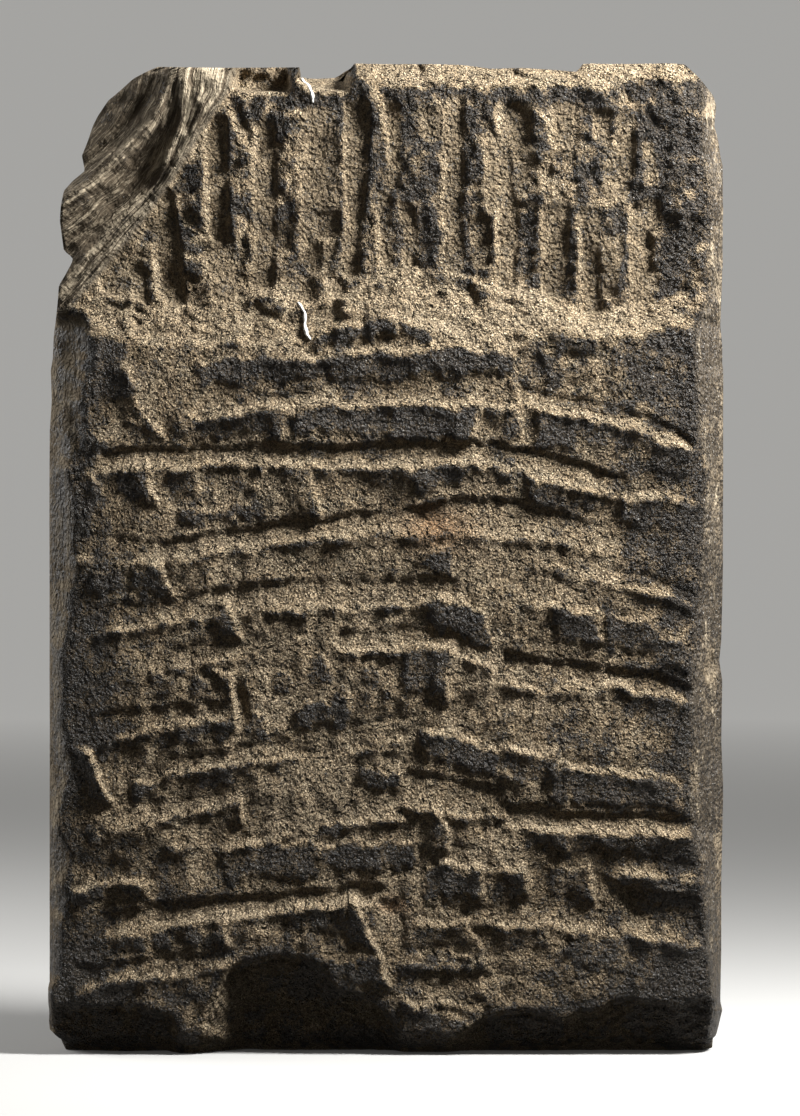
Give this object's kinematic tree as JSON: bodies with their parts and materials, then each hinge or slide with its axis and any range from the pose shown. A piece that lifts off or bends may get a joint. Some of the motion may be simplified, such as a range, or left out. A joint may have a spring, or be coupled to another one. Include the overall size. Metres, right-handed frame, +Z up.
{
  "type": "stone relief panel",
  "caption": "Upright stone slab with a tool-marked relief face: upright gouge grooves above a rough ledge, chevron furrows below, one corner broken away.",
  "frame": {"origin": "centre of the box round the slab, at the flat foot it stands on", "axes": "+Z up, +Y towards the plain back, -Y towards the carved face, +X to the right as the face is looked at"},
  "size_m": [0.2799, 0.0752, 0.4101],
  "materials": {
    "stone": "rough pecked schist, tan dust in the cuts and dark worn faces"
  },
  "bodies": {
    "root": {"stone_panel": "stone"}
  },
  "joints": []
}
